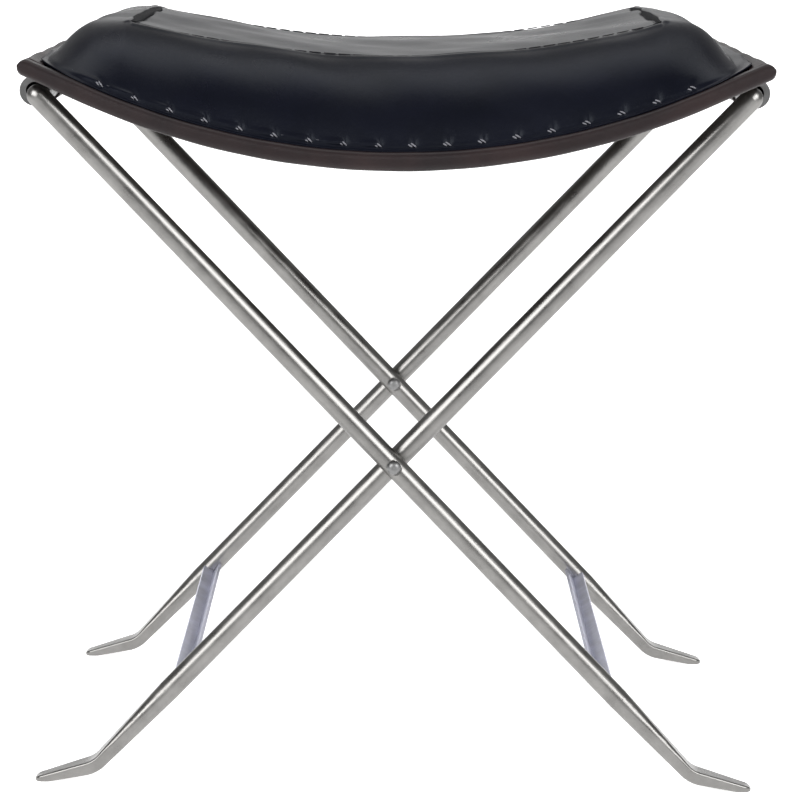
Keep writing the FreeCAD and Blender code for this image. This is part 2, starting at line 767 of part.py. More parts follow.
def make_loop_stitching(name, side):
    """Stitches under the tail of one loop."""
    lift = size("ThreadWidth") / 2 + 0.05
    turn = SLING_TURN - size("LoopTail") * 0.75 / SLING_RADIUS
    place = sling_point(-HALF_BASE - size("LoopThickness") - lift, turn)
    half_run = size("LoopStitchPitch") * 0.3
    bars = []
    for y in row_places(size("LoopLength") - size("LoopStitchPitch"), size("LoopStitchPitch")):
        bars.append(thread_bar(
            Vector(-side * place.x, y - half_run, place.z),
            Vector(-side * place.x, y + half_run, place.z)))
    return new_feature(name, Part.makeCompound(bars))


# The stool

A_FRONT, A_BACK = FRONT_Y - LEG_OFFSET, BACK_Y - LEG_OFFSET
B_FRONT, B_BACK = FRONT_Y + LEG_OFFSET, BACK_Y + LEG_OFFSET

nodes = [
    make_leg("leg_a_front", 1, A_FRONT),
    make_leg("leg_a_back", 1, A_BACK),
    make_leg("leg_b_front", -1, B_FRONT),
    make_leg("leg_b_back", -1, B_BACK),
    make_cross_tube("cross_tube_a", 1, A_FRONT, A_BACK),
    make_cross_tube("cross_tube_b", -1, B_FRONT, B_BACK),
    make_stretcher("stretcher_a", 1, A_FRONT, A_BACK),
    make_stretcher("stretcher_b", -1, B_FRONT, B_BACK),
    make_rivet("rivet_front", FRONT_Y),
    make_rivet("rivet_back", BACK_Y),
]

sling_base = new_feature("sling_base", base_solid())
binding_nodes = make_bindings(sling_base.Shape)
nodes.append(sling_base)
nodes += binding_nodes
nodes += [
    make_loop("tube_loop_a", 1),
    make_loop("tube_loop_b", -1),
]
nodes += make_pad(binding_nodes)
nodes += [
    make_edge_stitching("edge_stitching_front", -1),
    make_edge_stitching("edge_stitching_back", 1),
    make_cross_stitching("cross_stitching_left", -1),
    make_cross_stitching("cross_stitching_right", 1),
    make_loop_stitching("loop_stitching_a", 1),
    make_loop_stitching("loop_stitching_b", -1),
]

doc.recompute()
for item in doc.Objects:
    if "Invalid" in item.State or "Error" in item.State:
        raise RuntimeError("failed object: " + item.Label)
for node in nodes:
    if node.Shape.isNull() or not node.Shape.isValid():
        raise RuntimeError("bad shape: " + node.Label)

os.makedirs("parts", exist_ok=True)
for node in nodes:
    node.Shape.exportStep("parts/" + node.Label + ".step")

print("pivot height", round(PIVOT_HEIGHT, 2), "tube", round(TUBE_X, 2), round(TUBE_Z, 2))
print("sling radius", round(SLING_RADIUS, 2), "nodes", len(nodes))
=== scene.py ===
import json
import math
from collections import namedtuple

import bmesh
import bpy
import numpy as np
from mathutils import Matrix, Vector

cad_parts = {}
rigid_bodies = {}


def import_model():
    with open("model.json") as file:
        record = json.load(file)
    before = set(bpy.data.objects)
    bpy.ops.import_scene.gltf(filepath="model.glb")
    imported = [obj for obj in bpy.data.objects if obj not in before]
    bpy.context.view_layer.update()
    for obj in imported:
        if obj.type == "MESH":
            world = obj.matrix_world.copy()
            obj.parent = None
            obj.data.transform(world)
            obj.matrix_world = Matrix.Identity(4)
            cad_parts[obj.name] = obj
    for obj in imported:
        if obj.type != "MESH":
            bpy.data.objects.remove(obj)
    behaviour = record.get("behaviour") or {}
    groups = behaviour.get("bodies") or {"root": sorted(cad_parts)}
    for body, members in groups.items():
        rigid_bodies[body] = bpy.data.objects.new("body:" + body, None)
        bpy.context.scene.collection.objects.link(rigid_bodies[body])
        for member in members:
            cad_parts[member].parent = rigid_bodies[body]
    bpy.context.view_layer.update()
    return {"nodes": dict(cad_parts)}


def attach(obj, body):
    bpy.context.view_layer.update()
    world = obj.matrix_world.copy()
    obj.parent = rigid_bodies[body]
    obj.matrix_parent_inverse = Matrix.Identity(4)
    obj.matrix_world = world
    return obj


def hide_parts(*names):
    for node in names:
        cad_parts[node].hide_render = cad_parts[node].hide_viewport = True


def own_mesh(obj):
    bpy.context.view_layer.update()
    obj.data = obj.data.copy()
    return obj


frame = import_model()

NODES = frame["nodes"]

# Lengths are in metres. X runs across the seat, from tube A at the left to tube B at the right,
# and the front, which the photograph shows, is at -Y.

# Legs and cross tubes: angle of the legs, middle of tube B and radius of both tubes
LEG_ANGLE = math.radians(46.3)
TUBE_X, TUBE_Z = 0.22502, 0.44727
TUBE_ROUND = 0.0095

# Sling: its mid line is a low arc that goes on straight over the tubes
END_ANGLE = math.radians(24.0)
SLING_LOW = 0.4062
HALF_BASE, HALF_EDGE = 0.0015, 0.0055
OVERHANG = 0.0087
HALF_W = TUBE_X + OVERHANG
HALF_D = 0.187
EDGE_INNER = 0.1732
SLAB_INSET = 0.004
SKIN_GAP = 0.0001
LOOP_GAP, LOOP_THICK = 0.0003, 0.0012
LOOP_HALF_D, LOOP_TAIL = 0.105, 0.038
CLEAR = TUBE_ROUND + LOOP_GAP + LOOP_THICK + SKIN_GAP + HALF_BASE
SLING_R = (
    TUBE_X * math.sin(END_ANGLE) - (TUBE_Z - SLING_LOW) * math.cos(END_ANGLE) - CLEAR
) / (1 - math.cos(END_ANGLE))
SLING_CZ = SLING_LOW + SLING_R
ARC_X = SLING_R * math.sin(END_ANGLE)
NOSE_RUN = (HALF_W - HALF_EDGE - ARC_X) / math.cos(END_ANGLE)
TUBE_RUN = (TUBE_X - CLEAR * math.sin(END_ANGLE) - ARC_X) / math.cos(END_ANGLE)

# Padded cover: its outline, and how far its foam rises over the sling
PAD_END = HALF_W - 0.0116
PAD_SIDE = HALF_D - 0.006
PAD_CORNER = 0.033
PAD_SHOULDER = PAD_END - 0.052
PAD_RISE = 0.0591
PAD_Z = SLING_LOW + HALF_EDGE + PAD_RISE
PAD_FOOT = 0.003

# Its ends fall off along these powers, and its foam ends sooner at the right than at the left
FALL_POWER, FALL_SOFTEN = 4.0, 1.3
SHORT_FROM, SHORT_OVER = 0.1, 0.09
PAD_RIGHT_SHORT, PAD_LEFT_SHORT = 0.010, 0.004
LOW_FROM, LOW_OVER = 0.09, 0.08
PAD_LEFT_LOW = 0.0018

# Its top panel, and the long seams that draw in towards the ends
PANEL_X = PAD_END - 0.055
PANEL_Y = PAD_SIDE - 0.063
PANEL_R = 0.6854
PAD_PINCH, PINCH_POWER = 0.055, 1.6
CROWN_LEAST, CROWN_MORE, CROWN_POWER = 0.0003, 0.0027, 4

# Its rolled sides, which end in a hem that stands on the bound edge
SIDE_LEAST = 0.02
SIDE_SAG = 0.162
NOT_FLAT = 1e-5
HEM_RISE, FOOT_RISE = 0.0017, 0.0001


# Mesh helpers

def make_object(name, verts, faces, material):
    """Smooth object of one material, with its faces turned outwards."""
    mesh = bpy.data.meshes.new(name)
    mesh.from_pydata([tuple(v) for v in verts], [], faces)
    shell = bmesh.new()
    shell.from_mesh(mesh)
    bmesh.ops.recalc_face_normals(shell, faces=shell.faces)
    shell.to_mesh(mesh)
    shell.free()
    mesh.polygons.foreach_set("use_smooth", [True] * len(mesh.polygons))
    mesh.materials.append(material)
    mesh.update()
    obj = bpy.data.objects.new(name, mesh)
    bpy.context.collection.objects.link(obj)
    return obj


def grid_faces(rows, cols, close_cols=False):
    """Faces between the points of a grid, counted row by row."""
    faces = []
    for i in range(rows - 1):
        a, b = i * cols, (i + 1) * cols
        for j in range(cols if close_cols else cols - 1):
            k = (j + 1) % cols
            faces.append((a + j, a + k, b + k, b + j))
    return faces


def ring_faces(rows, sides):
    """Faces of a closed body: rings of points joined row by row, with a cap at both ends."""
    last = (rows - 1) * sides
    caps = [tuple(range(sides))[::-1], tuple(range(last, last + sides))]
    return grid_faces(rows, sides, close_cols=True) + caps


def ring_object(name, rings, material):
    """Closed object through rings that have the same number of points."""
    points = [point for ring in rings for point in ring]
    return make_object(name, points, ring_faces(len(rings), len(rings[0])), material)


def smoothstep(t):
    t = np.clip(t, 0, 1)
    return t * t * (3 - 2 * t)


def bell(distance, width):
    """1 at no distance, falling softly to nothing past about two widths."""
    return np.exp(-((distance / width) ** 2))


def even_places(count, pitch):
    """Places in a row about zero, one pitch apart."""
    return (np.arange(count) - (count - 1) / 2) * pitch


# The sling's lines

def sling_place(offset, turn):
    """Point (x, z) on the sling's arc, at an offset above its mid line."""
    radius = SLING_R - offset
    return np.array([radius * math.sin(turn), SLING_CZ - radius * math.cos(turn)])


def straight_place(offset, run):
    """Point (x, z) at a run past the arc's right end, where the sling goes on straight."""
    onward = np.array([math.cos(END_ANGLE), math.sin(END_ANGLE)])
    return sling_place(offset, END_ANGLE) + run * onward


def sling_path(run, arc_steps=85, straight_steps=14):
    """Points (x, z) along the sling's mid line, and the unit normals there."""
    arc = [(sling_place(0, turn), turn) for turn in np.linspace(0, END_ANGLE, arc_steps)]
    straight = [(straight_place(0, r), END_ANGLE) for r in np.linspace(0, run, straight_steps)[1:]]
    right = [(x, z, -math.sin(turn), math.cos(turn)) for (x, z), turn in arc + straight]
    left = [(-x, z, -nx, nz) for x, z, nx, nz in right[:0:-1]]
    return np.array(left + right)


def rim_height(x, offset):
    """Height over the floor, at x, of the line at an offset above the sling's mid line."""
    reach = np.abs(x)
    bend_x, bend_z = sling_place(offset, END_ANGLE)
    inner = SLING_CZ - np.sqrt(np.maximum((SLING_R - offset) ** 2 - reach**2, 1e-9))
    return np.where(reach < bend_x, inner, bend_z + (reach - bend_x) * math.tan(END_ANGLE))


# Procedural materials

def new_material(name):
    material = bpy.data.materials.new(name)
    material.use_nodes = True
    tree = material.node_tree
    return material, tree, tree.nodes["Principled BSDF"]


def object_vector(tree):
    return tree.nodes.new("ShaderNodeTexCoord").outputs["Object"]


def noise(tree, vector, scale, detail, roughness=0.55):
    node = tree.nodes.new("ShaderNodeTexNoise")
    node.inputs["Scale"].default_value = scale
    node.inputs["Detail"].default_value = detail
    node.inputs["Roughness"].default_value = roughness
    tree.links.new(vector, node.inputs["Vector"])
    return node.outputs["Fac"]


def ramp(tree, value, low, high):
    """Colour between two stops, each a place and a colour."""
    node = tree.nodes.new("ShaderNodeValToRGB")
    for element, (place, colour) in zip(node.color_ramp.elements, (low, high)):
        element.position = place
        element.color = (*colour, 1)
    tree.links.new(value, node.inputs["Fac"])
    return node.outputs["Color"]


def map_range(tree, value, low, high, to_low, to_high):
    node = tree.nodes.new("ShaderNodeMapRange")
    limits = {"From Min": low, "From Max": high, "To Min": to_low, "To Max": to_high}
    for key, number in limits.items():
        node.inputs[key].default_value = number
    tree.links.new(value, node.inputs["Value"])
    return node.outputs["Result"]


def add_bump(tree, shader, heights):
    """Chain bumps: heights is a list of (value, strength, distance in metres)."""
    normal = None
    for value, strength, distance in heights:
        node = tree.nodes.new("ShaderNodeBump")
        node.inputs["Strength"].default_value = strength
        node.inputs["Distance"].default_value = distance
        tree.links.new(value, node.inputs["Height"])
        if normal is not None:
            tree.links.new(normal, node.inputs["Normal"])
        normal = node.outputs["Normal"]
    tree.links.new(normal, shader.inputs["Normal"])


def leather(name, dark, light, rough, grain, crease, specular=0.5, tint=(1, 1, 1)):
    """Leather with fine pores, creases, and patches that differ in tone and gloss."""
    material, tree, shader = new_material(name)
    vector = object_vector(tree)
    tone = noise(tree, vector, scale=22, detail=5)
    tree.links.new(ramp(tree, tone, (0.3, dark), (0.75, light)), shader.inputs["Base Color"])
    cells = tree.nodes.new("ShaderNodeTexVoronoi")
    cells.feature = "DISTANCE_TO_EDGE"
    cells.inputs["Scale"].default_value = 1100
    tree.links.new(vector, cells.inputs["Vector"])
    pores = map_range(tree, cells.outputs["Distance"], 0.0, 0.25, 0.0, 1.0)
    wrinkle = noise(tree, vector, scale=60, detail=6, roughness=0.6)
    add_bump(tree, shader, [(wrinkle, crease, 0.0006), (pores, grain, 0.00012)])
    patches = noise(tree, vector, scale=9, detail=3)
    gloss = map_range(tree, patches, 0.3, 0.7, rough - 0.06, rough + 0.08)
    tree.links.new(gloss, shader.inputs["Roughness"])
    shader.inputs["Specular IOR Level"].default_value = specular
    shader.inputs["Specular Tint"].default_value = (*tint, 1)
    return material


def metal(name, colour, rough, streak, turn=0.0):
    """Brushed steel whose fine marks run along the piece, turned about Y from upright."""
    material, tree, shader = new_material(name)
    vector = object_vector(tree)
    turned = tree.nodes.new("ShaderNodeMapping")
    turned.inputs["Rotation"].default_value = (0, turn, 0)
    tree.links.new(vector, turned.inputs["Vector"])
    drawn_out = tree.nodes.new("ShaderNodeMapping")
    drawn_out.inputs["Scale"].default_value = (1, 1, 0.035)
    tree.links.new(turned.outputs["Vector"], drawn_out.inputs["Vector"])
    lines = noise(tree, drawn_out.outputs["Vector"], scale=900, detail=3)
    blotch = noise(tree, vector, scale=55, detail=5, roughness=0.6)
    low = tuple(c * 0.8 for c in colour)
    high = tuple(min(1.0, c * 1.12) for c in colour)
    tree.links.new(ramp(tree, blotch, (0.3, low), (0.7, high)), shader.inputs["Base Color"])
    gloss = map_range(tree, blotch, 0.3, 0.7, rough - 0.05, rough + 0.08)
    tree.links.new(gloss, shader.inputs["Roughness"])
    shader.inputs["Metallic"].default_value = 1.0
    add_bump(tree, shader, [(lines, streak, 0.00004), (blotch, 0.15, 0.0002)])
    return material


def thread_material(name, dark, light):
    """Twisted thread, with plies whose crests carry a painted highlight and whose grooves a painted
    shade.
    """
    material, tree, shader = new_material(name)
    wave = tree.nodes.new("ShaderNodeTexWave")
    wave.inputs["Scale"].default_value = 900
    wave.inputs["Distortion"].default_value = 1.5
    tree.links.new(object_vector(tree), wave.inputs["Vector"])
    plies = wave.outputs["Fac"]
    # The plies' height also sets the colour: a painted highlight on each crest and painted shade in
    # each groove.
    tree.links.new(ramp(tree, plies, (0.0, dark), (1.0, light)), shader.inputs["Base Color"])
    shader.inputs["Roughness"].default_value = 0.4
    add_bump(tree, shader, [(plies, 0.6, 0.0002)])
    return material


COVER = leather(
    "cover_leather", (0.0015, 0.0018, 0.0045), (0.0035, 0.004, 0.009),
    rough=0.31, grain=0.25, crease=0.3, specular=0.17, tint=(0.82, 0.9, 1.0))
BINDING = leather(
    "binding_leather", (0.006, 0.003, 0.004), (0.020, 0.010, 0.010),
    rough=0.40, grain=0.35, crease=0.4, specular=0.3)
SUEDE = leather(
    "sling_leather", (0.012, 0.008, 0.007), (0.028, 0.019, 0.016),
    rough=0.7, grain=0.6, crease=0.4)
THREAD = thread_material("thread", (0.06, 0.06, 0.07), (0.34, 0.34, 0.38))
DARK_THREAD = thread_material("thread_dark", (0.003, 0.003, 0.004), (0.010, 0.010, 0.013))

LEG_COLOUR = (0.245, 0.240, 0.232)
STEEL_A = metal("steel_leg_a", LEG_COLOUR, 0.30, 0.5, LEG_ANGLE - math.pi / 2)
STEEL_B = metal("steel_leg_b", LEG_COLOUR, 0.30, 0.5, math.pi / 2 - LEG_ANGLE)
STEEL_TUBE = metal("steel_tube", (0.20, 0.20, 0.20), 0.34, 0.3)
STEEL_RIVET = metal("steel_rivet", (0.24, 0.24, 0.24), 0.45, 0.2)
# Angle steel: its grey is the steel's own, but its lighter, bluish tone is a painted reflection of
# the bright surroundings on its faces.
STEEL_ANGLE_PAINTED_REFLECTION = metal("steel_angle_painted_reflection", (0.66, 0.67, 0.78), 0.42, 0.25)


# Metal frame: the CAD nodes stay, with the materials above

for node_name, material in (
    ("leg_a_front", STEEL_A), ("leg_a_back", STEEL_A),
    ("leg_b_front", STEEL_B), ("leg_b_back", STEEL_B),
    ("cross_tube_a", STEEL_TUBE), ("cross_tube_b", STEEL_TUBE),
    ("rivet_front", STEEL_RIVET), ("rivet_back", STEEL_RIVET),
    ("stretcher_a", STEEL_ANGLE_PAINTED_REFLECTION), ("stretcher_b", STEEL_ANGLE_PAINTED_REFLECTION),
):
    NODES[node_name].data.materials.clear()
    NODES[node_name].data.materials.append(material)


# Cover: one padded skin over foam

PadSection = namedtuple("PadSection", "top rim share crown half seam_y")
SideArc = namedtuple("SideArc", "seam_z edge_z y z radius")


def pad_section(x):
    """Cross section of the pad at x, for one place or an array of them.

    top is the height of its middle, rim that of the bound edge, share how much of its full rise
    it has, crown the top's fall towards its seams, half its half width and seam_y the seams' y.
    """
    reach = np.abs(x)
    level = PAD_Z + np.minimum(reach, PAD_SHOULDER) ** 2 / (2 * PANEL_R)
    level = level - PAD_LEFT_LOW * smoothstep((-x - LOW_FROM) / LOW_OVER)
    foot = rim_height(PAD_END, HALF_EDGE) + PAD_FOOT
    foam = reach + PAD_RIGHT_SHORT * smoothstep((x - SHORT_FROM) / SHORT_OVER)
    foam = foam + PAD_LEFT_SHORT * smoothstep((-x - SHORT_FROM) / SHORT_OVER)
    along = np.clip((foam - PAD_SHOULDER) / (PAD_END - PAD_SHOULDER), 0, 1)
    top = foot + (level - foot) * np.maximum(0, 1 - along**FALL_POWER) ** FALL_SOFTEN
    rim = rim_height(x, HALF_EDGE)
    share = np.clip((top - rim) / PAD_RISE, 0, 1)
    crown = CROWN_LEAST + CROWN_MORE * share**CROWN_POWER
    into = np.maximum(0, reach - (PAD_END - PAD_CORNER))
    half = PAD_SIDE - PAD_CORNER + np.sqrt(np.maximum(0, PAD_CORNER**2 - into**2))
    seam_y = np.minimum(PANEL_Y - PAD_PINCH * along**PINCH_POWER, half - SIDE_LEAST)
    return PadSection(top, rim, share, crown, half, seam_y)


def side_arc(pad):
    """Arc of the rolled side, from the panel's seam out to the hem's upper edge."""
    seam_z, edge_z = pad.top - pad.crown, pad.rim + HEM_RISE
    chord_y, chord_z = pad.half - pad.seam_y, edge_z - seam_z
    length = np.hypot(chord_y, chord_z)
    half_turn = 2 * np.arctan(2 * SIDE_SAG * pad.share) + NOT_FLAT
    radius = length / (2 * np.sin(half_turn))
    sink = radius * np.cos(half_turn)
    y = (pad.seam_y + pad.half) / 2 + chord_z / length * sink
    z = (seam_z + edge_z) / 2 - chord_y / length * sink
    return SideArc(seam_z, edge_z, y, z, radius)


def side_point(x, rise):
    """Point on the back's rolled side and its outward normal, both in (y, z)."""
    pad = pad_section(x)
    arc = side_arc(pad)
    z = pad.rim + rise
    y = arc.y + math.sqrt(max(arc.radius**2 - (z - arc.z) ** 2, 0))
    normal = ((y - arc.y) / arc.radius, (z - arc.z) / arc.radius)
    return y, z, normal


def top_point(x, y):
    """Height of the cover's top, inside its long seams."""
    pad = pad_section(x)
    return pad.top - pad.crown * (y / pad.seam_y) ** 2


def cover_columns():
    """Places in x of the cover's columns, which gather at the cross seams and the ends."""
    seam_band = 0.008
    inner, outer = PANEL_X - seam_band, PANEL_X + seam_band
    middle = np.linspace(0, inner, 150)
    seam = np.linspace(inner, outer, 24)[1:]
    end = outer + (PAD_END - outer) * (1 - (1 - np.linspace(0, 1, 60)[1:]) ** 1.8)
    right = np.concatenate([middle, seam, end])
    return np.concatenate([-right[:0:-1], right])


def cover_surface():
    """Grid of points over the cover, row by row from the front's foot to the back's."""
    xs = cover_columns()
    pad = pad_section(xs)
    arc = side_arc(pad)
    start = np.arctan2(arc.seam_z - arc.z, pad.seam_y - arc.y)
    end = np.arctan2(arc.edge_z - arc.z, pad.half - arc.y)
    side = []
    for share in 1 - (1 - np.linspace(0, 1, 46)) ** 1.25:
        angle = start + (end - start) * share
        side.append((arc.y + arc.radius * np.cos(angle), arc.z + arc.radius * np.sin(angle)))
    foot_z = pad.rim + FOOT_RISE
    side += [(pad.half, arc.edge_z + (foot_z - arc.edge_z) * share) for share in (0.35, 0.7, 1.0)]
    side += [(pad.half - tuck, foot_z) for tuck in (0.003, 0.008)]
    rows = [(-y, z) for y, z in reversed(side)]
    rows += [(pad.seam_y * s, pad.top - pad.crown * s * s) for s in np.linspace(-1, 1, 122)[1:-1]]
    rows += side
    return np.stack([np.stack([xs, y, z], 1) for y, z in rows])


def surface_normals(grid):
    normal = np.cross(np.gradient(grid, axis=1), np.gradient(grid, axis=0))
    return normal / np.maximum(np.linalg.norm(normal, axis=2, keepdims=True), 1e-9)


# Sewn seams round the top panel: a groove, and a soft ridge outside it
GROOVE_DEPTH, GROOVE_WIDE_X, GROOVE_WIDE_Y = 0.0011, 0.0010, 0.0009
RIDGE_HIGH = 0.0006
RIDGE_OUT_X, RIDGE_WIDE_X = 0.0038, 0.0024
RIDGE_OUT_Y, RIDGE_WIDE_Y = 0.004, 0.003
SEAM_REACH, SEAM_ABOVE = 0.001, 0.01


def seam_push(x, y, rise):
    """How far the panel's seams move the skin, outwards if positive."""
    past_x, past_y = np.abs(x) - PANEL_X, np.abs(y) - PANEL_Y
    inside_x, inside_y = past_x < SEAM_REACH, past_y < SEAM_REACH
    groove = np.maximum(
        bell(past_x, GROOVE_WIDE_X) * inside_y, bell(past_y, GROOVE_WIDE_Y) * inside_x)
    ridge = np.maximum(
        bell(past_x - RIDGE_OUT_X, RIDGE_WIDE_X) * inside_y,
        bell(past_y - RIDGE_OUT_Y, RIDGE_WIDE_Y) * inside_x)
    return (RIDGE_HIGH * ridge - GROOVE_DEPTH * groove) * (rise > SEAM_ABOVE)


# Hem: a crease along it, and a fold and a dent at each stitch, with larger folds on the left
HEM_PITCH, HEM_END = 0.0215, 0.004
HEM_INNER = 0.1
CREASE_DEPTH, CREASE_RISE, CREASE_WIDE = 0.0009, 0.0024, 0.0010
FOLD_LEFT, FOLD_RIGHT, FOLD_LONG = 0.0017, 0.0004, 0.017
FOLD_RISE, FOLD_WIDE = 0.0050, 0.0012
DENT_DEPTH, DENT_LONG, DENT_RISE, DENT_WIDE = 0.0007, 0.0022, 0.0055, 0.003


def hem_places():
    straight = 2 * (PAD_END - PAD_CORNER - HEM_END)
    return even_places(int(straight / HEM_PITCH) + 1, HEM_PITCH)


def hem_push(x, y, rise):
    """How far the hem's sewing moves the skin, outwards if positive."""
    push = -CREASE_DEPTH * bell(rise - CREASE_RISE, CREASE_WIDE)
    for place in hem_places():
        before = place - x
        swell = np.clip(1 - (before - 0.001) / FOLD_LONG, 0, 1)
        swell = swell * smoothstep((before + 0.0005) / 0.0015)
        height = FOLD_LEFT if place < 0 else FOLD_RIGHT
        push += height * swell * bell(rise - FOLD_RISE, FOLD_WIDE)
        push -= DENT_DEPTH * bell(x - place, DENT_LONG) * bell(rise - DENT_RISE, DENT_WIDE)
    return push * (np.abs(y) > HEM_INNER)


def slow_waves(x, y):
    """Crossed waves in the leather, some tenths of a millimetre high and 66 to 146 mm long."""
    return (
        0.0005 * np.sin(x * 43 + 1.3 * np.sin(y * 21))
        + 0.0004 * np.sin(y * 57 + 1.7 * np.sin(x * 33 + 1))
        + 0.0003 * np.sin((x + y) * 95 + 2)
    )


def make_cover():
    """The cover's skin with its sewing, closed under the pad where it rests on the sling."""
    grid = cover_surface()
    x, y, z = grid[..., 0], grid[..., 1], grid[..., 2]
    rise = z - rim_height(x, HALF_EDGE)
    push = seam_push(x, y, rise) + hem_push(x, y, rise)
    push += slow_waves(x, y) * smoothstep(rise / 0.02)
    still = rise < 0.0016
    grid = grid + surface_normals(grid) * np.where(still, 0.0, push)[..., None]
    rows, cols = grid.shape[:2]
    last = (rows - 1) * cols
    faces = grid_faces(rows, cols)
    faces += [(j, j + 1, last + j + 1, last + j) for j in range(cols - 1)]
    faces += [tuple(range(first, rows * cols, cols)) for first in (0, cols - 1)]
    return make_object("leather_cover", grid.reshape(-1, 3), faces, COVER)


cover = make_cover()
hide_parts("cover_border", "cover_top_panel", "foam_pad")


# Bound edges, swept along the sling

INNER_ROUND, OUTER_ROUND = 0.0006, 0.0042


def swept_strip(name, profile, run, material, shape=None):
    """Strip along the sling: profile is a ring of (y, offset) points, round at both noses."""
    high = max(abs(offset) for _, offset in profile)
    path = sling_path(run)
    rings = []
    for x, z, nx, nz in path:
        scale = 1.0 if shape is None else shape(x)
        rings.append([(x + nx * h * scale, y, z + nz * h * scale) for y, h in profile])
    scale = 1.0 if shape is None else shape(path[-1][0])
    for angle in np.linspace(0, math.pi / 2 - 0.1, 9)[1:]:
        out, thin = high * math.sin(angle) * scale, math.cos(angle) * scale
        for side, end in ((1, len(rings)), (-1, 0)):
            x, z, nx, nz = path[-1] if side > 0 else path[0]
            x, z = x + side * nz * out, z + abs(nx) * out
            rings.insert(end, [(x + nx * h * thin, y, z + nz * h * thin) for y, h in profile])
    return ring_object(name, rings, material)


def edge_profile(inner_y, outer_y, half, outer_round=OUTER_ROUND):
    """Rounded strip section, from an inner edge to an outer edge that may be rounder."""
    way = 1 if outer_y > inner_y else -1
    ring = []
    for corner_y, corner_h, radius, start in (
        (outer_y, half, outer_round, 0), (inner_y, half, INNER_ROUND, 90),
        (inner_y, -half, INNER_ROUND, 180), (outer_y, -half, outer_round, 270),
    ):
        side_y = 1 if corner_y == outer_y else -1
        side_h = 1 if corner_h > 0 else -1
        for step in np.linspace(0, 90, 7):
            angle = math.radians(start + step)
            ring.append((
                corner_y + way * radius * (math.cos(angle) - side_y),
                corner_h + radius * (math.sin(angle) - side_h)))
    return ring


def band_shape(x):
    """Thickness of a bound edge: a little more in the middle than at its ends, and uneven."""
    return 1.07 - 0.14 * (x / HALF_W) ** 2 + 0.012 * math.sin(x * 150) + 0.01 * math.sin(x * 61 + 1)


for tag, way in (("front", -1), ("back", 1)):
    profile = edge_profile(way * EDGE_INNER, way * HALF_D, HALF_EDGE)
    strip = swept_strip("edge_binding_leather_" + tag, profile, NOSE_RUN, BINDING, band_shape)
    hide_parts("edge_binding_" + tag)


# Bound ends, along the cross tubes

END_BAND = 0.014
END_HALF_D = EDGE_INNER - 0.0003
END_BEVEL = 0.0006
NOSE_LONG, NOSE_HIGH = 0.9 * HALF_EDGE, 0.93 * HALF_EDGE


def end_strip(name, side):
    """Binding round one end of the sling, with a slightly wavy outer line."""
    start = NOSE_RUN + HALF_EDGE - END_BAND
    on_slab = HALF_BASE + SKIN_GAP
    outline = [
        straight_place(on_slab, start),
        straight_place(HALF_EDGE - 2 * END_BEVEL, start),
        straight_place(HALF_EDGE - END_BEVEL, start + 0.0008),
    ]
    for angle in np.radians(np.linspace(90, -90, 25)):
        outline.append(straight_place(
            NOSE_HIGH * math.sin(angle), NOSE_RUN + NOSE_LONG * math.cos(angle)))
    outline.append(straight_place(-on_slab, NOSE_RUN))
    rings = []
    for y in np.linspace(-END_HALF_D, END_HALF_D, 60):
        wave = 0.00025 * math.sin(y * 90 + side) + 0.0002 * math.sin(y * 37)
        rings.append([(side * x, y, z + wave * (k > 1)) for k, (x, z) in enumerate(outline)])
    return ring_object(name, rings, BINDING)


for tag, side in (("left", -1), ("right", 1)):
    strip = end_strip("end_binding_leather_" + tag, side)
    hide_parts("end_binding_" + tag)


# The sling's slab, between the bindings

SLAB_SIDE = HALF_D - SLAB_INSET
slab_profile = edge_profile(-SLAB_SIDE, SLAB_SIDE, HALF_BASE, INNER_ROUND)
slab = swept_strip("sling_leather_slab", slab_profile, NOSE_RUN, SUEDE)
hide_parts("sling_base")


# Loops that hold the sling to the cross tubes

def loop_strap(name, side):
    """Strap round a cross tube, with its tail under the sling; side -1 is tube A."""
    inner = TUBE_ROUND + LOOP_GAP
    under = -HALF_BASE - SKIN_GAP
    back_again = END_ANGLE - 2 * math.pi + 0.02
    tail, root = TUBE_RUN - LOOP_TAIL, TUBE_RUN - 0.001
    section = []
    for radius, turns in (
        (inner + LOOP_THICK, np.linspace(END_ANGLE, back_again, 72)),
        (inner, np.linspace(back_again, END_ANGLE - 0.15, 72)),
    ):
        for turn in turns:
            section.append((TUBE_X - radius * math.sin(turn), TUBE_Z + radius * math.cos(turn)))
    section += [straight_place(under - LOOP_THICK, run) for run in np.linspace(root, tail, 6)]
    section += [straight_place(under, run) for run in np.linspace(tail, root, 6)]
    rings = []
    for y in np.linspace(-LOOP_HALF_D, LOOP_HALF_D, 30):
        rings.append([(side * x, y, z) for x, z in section])
    return ring_object(name, rings, BINDING)


for tag, side in (("a", -1), ("b", 1)):
    strap = loop_strap("loop_leather_" + tag, side)
    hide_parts("tube_loop_" + tag)


# Hand stitching: a stitch is its start, its end, how far its middle bows out, and if it swells

def thread_stitch(start, end, lift, radius, swell, sides=8, steps=7):
    """One stitch that leaves the leather, bows and goes back in, or a thread that swells towards
    its end, which serves as a fold's painted highlight.
    """
    start, end, lift = Vector(start), Vector(end), Vector(lift)
    along = (end - start).normalized()
    across = along.cross(lift.normalized()).normalized()
    up = across.cross(along).normalized()
    verts = []
    for i in range(steps + 1):
        t = i / steps
        bow = math.sin(math.pi * t)
        centre = start.lerp(end, t) + lift * (bow ** 0.6 - 0.35)
        r = radius * (0.12 + 0.88 * t if swell else 0.55 + 0.45 * bow ** 0.5)
        for k in range(sides):
            angle = 2 * math.pi * k / sides
            verts.append(centre + across * (r * math.cos(angle)) + up * (r * math.sin(angle)))
    return verts, ring_faces(steps + 1, sides)


def stitch_object(name, stitches, radius, material=THREAD):
    """A row of stitches as one object."""
    verts, faces = [], []
    for start, end, lift, *swell in stitches:
        more_verts, more_faces = thread_stitch(start, end, lift, radius, any(swell))
        faces += [tuple(len(verts) + i for i in face) for face in more_faces]
        verts += more_verts
    return make_object(name, verts, faces, material)
